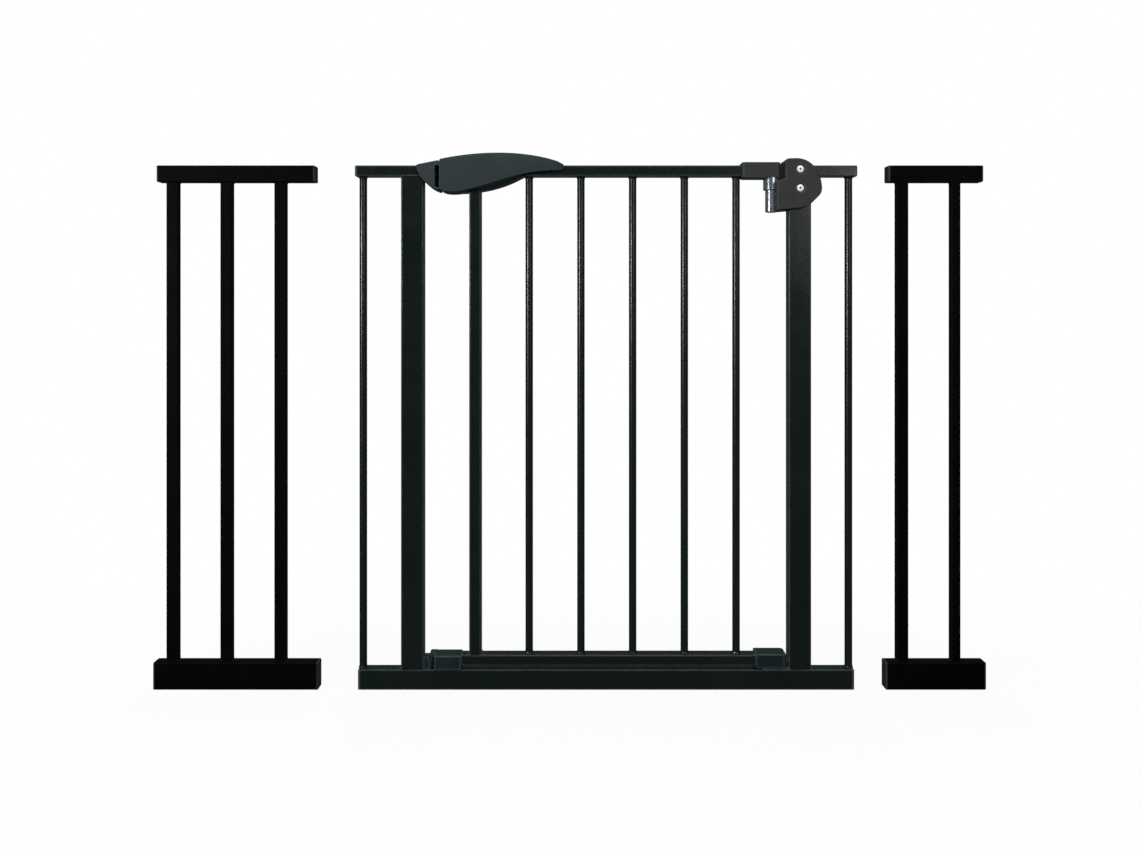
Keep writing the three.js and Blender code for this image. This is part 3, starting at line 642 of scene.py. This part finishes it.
def weld(name, corner, directions, body, slot, width, leg=3.4):
    """A fillet weld in the corner where an upright face meets a level one.

    corner is (x, z); directions are the signs of the free side along X and Z.
    """
    x, z = corner
    along, up = directions
    sections = 22
    root, toe = -0.25, 1.05  # share of the leg sunk into the metal, and where the leg ends
    hollow = [(0.96, 0.02), (0.55, 0.14), (0.30, 0.30), (0.14, 0.55), (0.02, 0.96)]
    outline = [(root, root), (toe, root)] + hollow + [(root, toe)]
    phase = random.uniform(0, PHASE_RANGE)
    rings = []
    for i in range(sections + 1):
        y = -width / 2 + width * i / sections
        end = min(i, sections - i) / sections
        swell = (0.55 + 0.45 * min(1, end * 9)) * (1 + 0.1 * math.sin(2.3 * i + phase))
        reach = leg * swell
        rings.append([((x + along * u * reach) * MM, y * MM, (z + up * v * reach) * MM) for u, v in outline])
    new_piece(name, loft(name, rings), slot, body, sharp=60)


def make_frame():
    for node in ("bottom_rail", "left_top_stub", "right_top_stub"):
        rect_tube(node, 0)
    for node in ("left_post", "right_post"):
        rect_tube(node, 2, (TUBE_CORNER, TUBE_CORNER))
    for node in ("left_outer_bar", "right_outer_bar"):
        round_bar(node)
    for side, node in ((-1, "left_post"), (1, "right_post")):
        low, high = box_of(node)
        for face, way in ((low[0], -1), (high[0], 1)):
            name = "%s_foot_weld_%s" % (node, "outer" if way == side else "inner")
            weld(name, (face, low[2]), (way, 1), "frame", "painted_steel", TUBE_WELD)
        outer = low[0] if side < 0 else high[0]
        weld(node + "_stub_weld", (outer, high[2]), (side, -1), "frame", "painted_steel", TUBE_WELD)


def make_door():
    for node in ("door_top_rail", "door_bottom_rail"):
        rect_tube(node, 0)
    rect_tube("door_stile", 2, (TUBE_CORNER, TUBE_CORNER))
    for node in sorted(n for n in BODY_OF if n.startswith("door_bar_")):
        round_bar(node)
    low, high = box_of("door_stile")
    for face, way, side in ((low[0], -1, "left"), (high[0], 1, "right")):
        weld("stile_foot_weld_" + side, (face, low[2]), (way, 1), "door", "painted_steel", TUBE_WELD)
        weld("stile_head_weld_" + side, (face, high[2]), (way, -1), "door", "painted_steel", TUBE_WELD)


def make_panels():
    weld_length, weld_leg = 10, 2.6
    for node in sorted(n for n in BODY_OF if "_panel_" in n and not n.endswith("plug")):
        if node.endswith("rail"):
            rect_tube(node, 0)
            continue
        rect_tube(node, 2)
        low, high = box_of(node)
        for face, way, side in ((low[0], -1, "left"), (high[0], 1, "right")):
            for level, up, place in ((low[2], 1, "foot"), (high[2], -1, "head")):
                name = "_".join((node, place, "weld", side))
                weld(name, (face, level), (way, up), BODY_OF[node], "panel_paint", weld_length, weld_leg)


# ---------------------------------------------------------------- handle and catch

COVER_HALF_DEPTH = 22  # handle, catch and hinge covers alike
SEAM = 0.1  # from the middle plane to each cover; front and rear covers meet here
HANDLE_X = box_of("handle_front_cover")[0][0]
HANDLE_LENGTH = box_of("handle_front_cover")[1][0] - HANDLE_X
TIP_X = 175.4  # where the handle's long edges end and its rounded tip begins


def leaf_shell(name, columns, half_depth, top_edge, bottom_edge, side):
    """Half of a leaf-shaped cover, front (side -1) or rear (side 1), skinned over cross-sections.

    columns are (x, bottom, top) in millimetres; half_depth gives the half depth at each x.
    """
    rings = []
    steps = 6
    for x, bottom, top in columns:
        depth = half_depth(x)
        height = top - bottom
        upper = min(top_edge, 0.45 * height)
        lower = min(bottom_edge, 0.45 * height)
        crown = 0.02 * height
        section = [(SEAM, bottom), (depth - lower - crown, bottom)]
        section += arc((depth - lower - crown, bottom + lower), lower, -QUARTER_TURN, 0, steps)[1:]
        section.append((depth, bottom + 0.5 * height))
        section += arc((depth - upper - crown, top - upper), upper, 0, QUARTER_TURN, steps)
        section.append((SEAM, top))
        rings.append([(x * MM, side * y * MM, z * MM) for y, z in section])
    return loft(name, rings)


def curve_height(points, x):
    """Height of a polyline, ordered by x, at x."""
    for (x0, z0), (x1, z1) in zip(points, points[1:]):
        if x <= x1:
            return z0 + (z1 - z0) * (x - x0) / (x1 - x0)
    return points[-1][1]


def handle_lines():
    """Upper and lower edge of the handle from its latch end to its tip, with heights from the gate's top."""
    upper = [(0, 7.9)] + bezier((0, 7.9), (48.4, 18.5), (118.4, 23.4), (TIP_X, 3.6), 40)
    lower = [(0, -35.5)] + quadratic((0, -35.5), (4.5, -39.6), (18, -39.6), 10)
    lower += bezier((18, -39.6), (64, -38), (105, -7), (TIP_X, -8.5), 48)
    return upper, lower


def handle_columns():
    """The handle's cross-sections as (x, bottom, top), close together at both ends."""
    upper, lower = handle_lines()
    end_radius, tip_start, tip_steps = 0.9, 168, 12
    columns = []
    for x in [0, 0.35, 0.9, 2, 4, 7, 10, 14] + list(range(18, tip_start, 3)):
        trim = end_radius * max(0, 1 - x / end_radius) ** 2
        bottom, top = curve_height(lower, x) + trim, curve_height(upper, x) - trim
        columns.append((HANDLE_X + x, GATE_TOP + bottom, GATE_TOP + top))
    reach = HANDLE_LENGTH - tip_start
    for i in range(tip_steps + 1):
        turn = QUARTER_TURN * i / tip_steps
        x = tip_start + reach * math.sin(turn)
        bottom, top = curve_height(lower, min(x, TIP_X)), curve_height(upper, min(x, TIP_X))
        middle, half = (bottom + top) / 2, (top - bottom) / 2
        half *= max(0.12, math.cos(turn) ** 0.55)
        columns.append((HANDLE_X + x, GATE_TOP + middle - half, GATE_TOP + middle + half))
    return columns


def handle_half_depth(x):
    """The handle is deepest at its latch end, slimmer along its length and rounded off at its tip."""
    along = (x - HANDLE_X) / HANDLE_LENGTH
    slim = COVER_HALF_DEPTH - 5.5 * max(0, along - 0.25) ** 1.4
    tip_share, tip_loss = 0.1, 5
    tip = max(0, along - (1 - tip_share))
    return slim - tip_loss * tip / tip_share * tip / tip_share


def make_handle():
    """The two covers, cut out for the thumb button and its stem, the bolt and the rear screws."""
    pad_low, pad_high = box_of("thumb_button")
    bolt_low, bolt_high = box_of("latch_bolt")
    travel = 10.5  # 9 mm for the thumb button's stroke and some room at its end
    recess_floor, recess_half = 8.6, 9
    stem_half = 3.3
    mouth_half, mouth_room = 7.6, 0.7
    above = 60
    recess = box_mesh(
        (pad_low[0] - travel, -recess_half, GATE_TOP + recess_floor),
        (pad_high[0] + 0.4, recess_half, GATE_TOP + above),
    )
    stem = box_mesh(
        (pad_low[0] - travel + 6, -stem_half, GATE_TOP - 2),
        (pad_high[0] - 5, stem_half, GATE_TOP + 20),
    )
    mouth = box_mesh(
        (HANDLE_X - 5, -mouth_half, bolt_low[2] - mouth_room),
        (HANDLE_X + 12, mouth_half, bolt_high[2] + mouth_room),
    )
    screw_hole = [(ON_AXIS, 18.8), (3.8, 18.8), (3.8, 21.2), (5.2, 23), (5.2, 30), (ON_AXIS, 30)]
    for side, node in ((-1, "handle_front_cover"), (1, "handle_rear_cover")):
        cutters = [recess.copy(), stem.copy(), mouth.copy()]
        if side > 0:
            for screw in ("handle_screw_lower", "handle_screw_upper"):
                x, z, _ = round_about_y(screw)
                cutters.append(lathe("cutter", screw_hole, ("y", x, z)))
        shell = leaf_shell(node, handle_columns(), handle_half_depth, 3.4, 1.6, side)
        new_piece(node + "_skin", carve(shell, cutters), "handle_plastic", "door", node)
    for cutter in (recess, stem, mouth):
        bpy.data.meshes.remove(cutter)
    make_grip()


def make_grip():
    """The dark rounded insert under the handle that fingers close on."""
    _, lower = handle_lines()
    under = [(30, -40.4)] + bezier((30, -40.4), (70, -40), (100, -30), (124, -15), 40)
    start, end = 31, 124
    half_depth, sunk = 18.3, 1.6
    sections, steps = 56, 32
    rings = []
    for i in range(sections + 1):
        x = start + (end - start) * i / sections
        top = curve_height(lower, x) + sunk
        depth = max(0.4, top - curve_height(under, x))
        angles = [math.pi * k / steps for k in range(steps + 1)]
        section = [(half_depth * math.cos(a), top - depth * math.sin(a)) for a in angles]
        rings.append([((HANDLE_X + x) * MM, -y * MM, (GATE_TOP + z) * MM) for y, z in section])
    new_piece("grip_insert_skin", loft("grip", rings), "grip_plastic", "door", "grip_insert", sharp=50)


def make_catch():
    """The two-part cap on the latch post, with the deep slot that the bolt crosses."""
    low, high = box_of("catch_front_cover")
    bolt_low, bolt_high = box_of("latch_bolt")
    length = high[0] - low[0]
    upper = [(0, -1.6), (4, 0.4), (length, 6.3)]
    lower = [(0, -3)] + quadratic((0, -3), (11, -32), (length, -37.4), 30)
    end_radius, steps = 0.8, 26
    columns = [(low[0], GATE_TOP - 3.0, GATE_TOP - 1.8)]
    for i in range(1, steps + 1):
        x = length * (i / steps) ** 1.3
        trim = end_radius * max(0, 1 - (length - x) / end_radius) ** 2
        bottom, top = curve_height(lower, x) + trim, curve_height(upper, x) - trim
        columns.append((low[0] + x, GATE_TOP + bottom, GATE_TOP + top))

    def half_depth(x):
        return COVER_HALF_DEPTH - 1.6 * max(0, 1 - (x - low[0]) / 5) ** 2

    outside = 30  # well in front of the cover
    beyond = high[0] + 5
    slot_start, slot_back = high[0] - 5.6, 19.5
    slot_low, slot_high = -33.4, -1.4
    slot = box_mesh((slot_start, -outside, GATE_TOP + slot_low), (beyond, slot_back, GATE_TOP + slot_high))
    rim = 0.8
    left, foot, head = slot_start - rim, slot_low - rim, slot_high + rim
    corners = [(left, foot), (beyond, foot), (beyond, head), (left, head)]
    chamfer = slab("cutter", corners, front_place(0, GATE_TOP), -outside, rim - COVER_HALF_DEPTH, 0.01, rim, 1)
    inner_wall = POST_FACE_LEFT + 3
    pocket_half, window_half = 16, 8
    pocket = box_mesh(
        (inner_wall, -pocket_half, GATE_TOP - 26),
        (slot_start - 2.5, pocket_half, GATE_TOP + 1.5),
    )
    window = box_mesh(
        (inner_wall, -window_half, bolt_low[2] - 1),
        (slot_start + 1, window_half, bolt_high[2] + 1),
    )
    for side, node in ((-1, "catch_front_cover"), (1, "catch_rear_cover")):
        cutters = [slot.copy(), pocket.copy(), window.copy()]
        if side < 0:
            cutters.append(chamfer.copy())
        shell = leaf_shell(node, columns, half_depth, 2.2, 1.8, side)
        new_piece(node + "_skin", carve(shell, cutters), "handle_plastic", "frame", node)
    for cutter in (slot, chamfer, pocket, window):
        bpy.data.meshes.remove(cutter)


# ---------------------------------------------------------------- hinges

COLLAR_RADIUS = 11.4
PIN_HOLE = 4.4  # radius
COVER_RIM, COVER_SEAM_EDGE = 2.3, 0.25  # rounding of a hinge cover's outer rim and of its edge at the seam


def hinge_cover_outline():
    """The cover's edge, anticlockwise from its lower left; from the post's face and the gate's top."""
    points = [(-20, -66.3), (13, -63.3)]
    points += quadratic((13, -63.3), (25.5, -61.5), (29.5, -57.5), 8)
    points += [(41.5, -45.5)] + quadratic((41.5, -45.5), (46.2, -41), (45.8, -33), 8)
    points += bezier((45.8, -33), (44.5, -8), (29, 8.9), (9, 8.9), 30)
    points += [(-1, 8.6)] + quadratic((-1, 8.6), (-7.2, 8.6), (-7.5, 1), 10)
    points += [(-7.5, -20), (-15, -22.5), (-20, -25)]
    return points


def make_hinge_covers():
    """The two covers on the hinge post, hollowed round the barrel and the door's collar."""
    outline = hinge_cover_outline()
    barrel_low, _ = box_of("hinge_barrel")
    collar_low, _ = box_of("door_hinge_casing")
    barrel_space = HINGE_X - barrel_low[0] + 0.25
    collar_space = COLLAR_RADIUS + 0.6
    space = [
        (ON_AXIS, barrel_low[2] - 5),
        (barrel_space, barrel_low[2] - 5),
        (barrel_space, collar_low[2] - 0.6),
        (collar_space, collar_low[2] - 0.6),
        (collar_space, GATE_TOP + 20),
        (ON_AXIS, GATE_TOP + 20),
    ]
    round_space = lathe("cutter", space, ("z", HINGE_X, 0), 64)
    screw_hole = [(ON_AXIS, -17.9), (6.2, -17.9), (6.4, -21.3), (7.2, -22.1), (7.2, -30), (ON_AXIS, -30)]
    place = front_place(POST_FACE_RIGHT, GATE_TOP)
    for side, node in ((-1, "hinge_front_cover"), (1, "hinge_rear_cover")):
        cutters = [round_space.copy()]
        if side < 0:
            mesh = slab(node, outline, place, -COVER_HALF_DEPTH, -SEAM, COVER_RIM, COVER_SEAM_EDGE)
            for screw in ("hinge_screw_upper", "hinge_screw_lower"):
                x, z, _ = round_about_y(screw)
                cutters.append(lathe("cutter", screw_hole, ("y", x, z)))
        else:
            mesh = slab(node, outline, place, SEAM, COVER_HALF_DEPTH, COVER_SEAM_EDGE, COVER_RIM)
        new_piece(node + "_skin", carve(mesh, cutters), "hinge_plastic", "frame", node)
    bpy.data.meshes.remove(round_space)


def make_hinge_barrel():
    """The fixed barrel, open at its top and closed round the pin at its foot."""
    low, high = box_of("hinge_barrel")
    radius = HINGE_X - low[0]
    wall, foot = 1.8, 3
    profile = [
        (PIN_HOLE, low[2]),
        (radius - 1.2, low[2]),
        (radius - 0.35, low[2] + 0.35),
        (radius, low[2] + 1.2),
        (radius, high[2] - 0.5),
        (radius - 0.5, high[2]),
        (radius - wall, high[2]),
        (radius - wall, low[2] + foot),
        (PIN_HOLE, low[2] + foot),
    ]
    mesh = lathe("barrel", profile, ("z", HINGE_X, 0), 64, "joined")
    new_piece("hinge_barrel_skin", mesh, "hinge_plastic", "frame", "hinge_barrel", finish="dark_chrome")


def make_casing():
    """The cap that joins the door's top rail to the hinge, and the collar under its rounded nose."""
    low, high = box_of("door_hinge_casing")
    half = high[0] - HINGE_X
    back, shoulder = low[0], 2.2
    bottom = GATE_TOP - 19
    corner = 4
    nose = HINGE_X + half - corner
    outline = [(back, half - 2.6), (back, 2.6 - half), (back + shoulder, -half)]
    outline += arc((nose, corner - half), corner, -QUARTER_TURN, 0, 10)
    outline += arc((nose, half - corner), corner, 0, QUARTER_TURN, 10)
    outline += [(back + shoulder, half)]
    mesh = slab("casing", outline, plan_place, bottom, high[2], 2.4, 1.2)
    rail_half, rail_height, rail_room = 10.1, 16.1, 0.1  # the door's top rail, with room round it
    rail = box_mesh(
        (back - 5, -rail_half, GATE_TOP - rail_height),
        (HINGE_X - 10, rail_half, GATE_TOP + rail_room),
    )
    new_piece("door_hinge_casing_skin", carve(mesh, [rail]), "hinge_plastic", "door", "door_hinge_casing")
    collar_top = bottom + 2.6  # inside the cap
    profile = [
        (PIN_HOLE, low[2]),
        (COLLAR_RADIUS - 0.5, low[2]),
        (COLLAR_RADIUS, low[2] + 0.5),
        (COLLAR_RADIUS, collar_top),
        (PIN_HOLE, collar_top),
    ]
    mesh = lathe("collar", profile, ("z", HINGE_X, 0), 64)
    new_piece("hinge_collar", mesh, "hinge_plastic", "door", finish="dark_chrome")


def screw_mesh(node, shank, way):
    """A domed cross-head screw along Y. way is the side that its head faces."""
    low, high = box_of(node)
    x, z, radius = round_about_y(node)
    height = 0.45 * radius
    front, back = (low[1], high[1]) if way < 0 else (high[1], low[1])
    face = front - way * height
    steps = 6
    profile = []
    for i in range(steps + 1):
        turn = QUARTER_TURN * i / steps
        rise = way * height * (0.35 + 0.65 * math.cos(turn))
        profile.append((max(ON_AXIS, radius * math.sin(turn)), face + rise))
    profile += [(radius, face), (shank, face), (shank, back), (ON_AXIS, back)]
    head = lathe("screw", profile, ("y", x, z), 40)
    arm, blade = 0.36 * radius, 0.13 * radius
    floor = face - way * 0.5 * height
    ends = sorted((floor, face + way * 3 * height))
    bars = [
        box_mesh((x - arm, ends[0], z - blade), (x + arm, ends[1], z + blade)),
        box_mesh((x - blade, ends[0], z - arm), (x + blade, ends[1], z + arm)),
    ]
    return carve(head, bars)


def make_screws():
    for node in ("hinge_screw_upper", "hinge_screw_lower"):
        new_piece(node + "_skin", screw_mesh(node, 2, -1), "zinc", "frame", node)
    for node in ("handle_screw_lower", "handle_screw_upper"):
        new_piece(node + "_skin", screw_mesh(node, 1.6, 1), "zinc", "door", node)


# ---------------------------------------------------------------- plugs, and the CAD nodes that stay


def make_plugs():
    """End plugs: a flange with rounded rims, a shank inside the tube, and a socket where a spindle goes."""
    flange, flange_rim, shank_end = 2, 1.7, 16
    socket, socket_mouth, mouth_depth = 4.4, 5.3, 0.9  # two radii and the mouth's chamfer
    for node in sorted(n for n in BODY_OF if n.endswith("_plug")):
        low, high = box_of(node)
        tube_middle = 0  # the frame's own rails are centred on the passage
        if "_panel_" in node:
            panel = node[: node.index("_panel_")] + "_panel"
            rail_low, rail_high = box_of(panel + ("_top_rail" if "_upper_" in node else "_bottom_rail"))
            tube_middle = (rail_low[0] + rail_high[0]) / 2
        outward = 1 if (low[0] + high[0]) / 2 > tube_middle else -1
        face = high[0] if outward > 0 else low[0]
        middle = (low[2] + high[2]) / 2
        height = high[2] - low[2]
        outer = rounded_rectangle(TUBE_DEPTH, height, TUBE_CORNER)
        inner = rounded_rectangle(TUBE_DEPTH - 3, height - 3, 1)

        def ring(outline, depth):
            return [((face - outward * depth) * MM, u * MM, (middle + v) * MM) for u, v in outline]

        rings = []
        for share in (0, 0.25, 0.5, 0.75, 1):
            turn = share * QUARTER_TURN
            rim = inset(outer, flange_rim * (1 - math.sin(turn)))
            rings.append(ring(rim, flange_rim * (1 - math.cos(turn))))
        rings += [ring(outer, flange), ring(inner, flange), ring(inner, shank_end)]
        mesh = loft(node, rings)
        if not node.endswith("gate_plug"):
            bore = [(socket_mouth, -1), (socket_mouth, 0), (socket, mouth_depth), (socket, shank_end + 2)]
            rings = [ring(circle(radius, 40), depth) for radius, depth in bore]
            mesh = carve(mesh, [loft("cutter", rings)])
        new_piece(node + "_skin", mesh, "plug_plastic", BODY_OF[node], node)


def soften(node, width, segments=3):
    """Rounds a CAD node's edges for the eye."""
    item = frame["nodes"][node]
    merge = item.modifiers.new("planes", "DECIMATE")
    merge.decimate_type = "DISSOLVE"
    merge.angle_limit = math.radians(0.6)
    edges = item.modifiers.new("edges", "BEVEL")
    edges.width = width * MM
    edges.segments = segments
    edges.limit_method = "ANGLE"
    edges.angle_limit = math.radians(30)
    edges.harden_normals = True


def dress_cad_nodes():
    """Gives every CAD node its material, and soft edges to the ones that show."""
    for node, item in frame["nodes"].items():
        item.data.materials.clear()
        item.data.materials.append(MATERIALS[SLOT_OF[node]])
    for node in ("bottom_catch_lug", "lower_hinge_block", "lower_latch_block"):
        soften(node, 1.1)
    for node in ("thumb_button", "latch_bolt"):
        soften(node, 0.7)
    for node in ("lower_hinge_bracket", "strike_plate"):
        soften(node, 0.3, 2)


make_stage()
make_frame()
make_door()
make_panels()
make_handle()
make_catch()
make_hinge_covers()
make_hinge_barrel()
make_casing()
make_screws()
make_plugs()
dress_cad_nodes()
